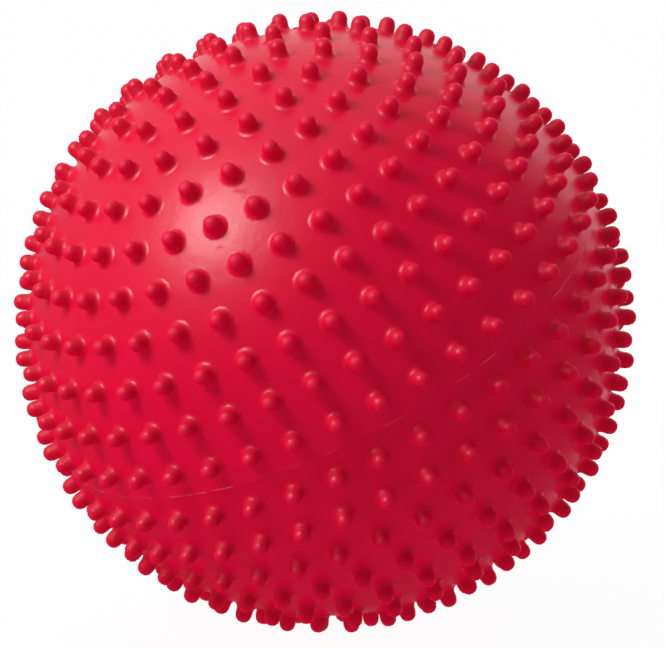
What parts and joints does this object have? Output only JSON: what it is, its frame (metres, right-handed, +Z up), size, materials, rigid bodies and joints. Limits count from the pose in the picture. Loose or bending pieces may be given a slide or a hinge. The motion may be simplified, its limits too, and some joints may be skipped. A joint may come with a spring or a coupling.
{
  "type": "knobbly ball",
  "caption": "Hollow soft-vinyl play ball covered all over in round-tipped nubs, with a push-in stopper that closes its air valve.",
  "frame": {"origin": "centre of the ball", "axes": "+Z up as the ball lies in the picture, +X to the right and +Y away from the viewer in the picture; the mould axis leans 30 degrees from +Z towards a bearing of 210.7 degrees from +X, with the valve on its lower pole"},
  "size_m": [0.1994, 0.1997, 0.1994],
  "materials": {
    "vinyl": "satin soft vinyl, crimson all through",
    "seat": "matt soft vinyl, darker crimson",
    "stopper": "smooth off-white plastic"
  },
  "bodies": {
    "ball": {"ball_skin": "vinyl", "valve_seat": "seat"},
    "stopper": {"valve_stopper": "stopper"}
  },
  "joints": [
    {"name": "stopper_pull", "type": "slide", "parent": "ball", "child": "stopper", "axis": [0.4299, 0.2553, -0.866], "range_m": [0, 0.016]}
  ]
}
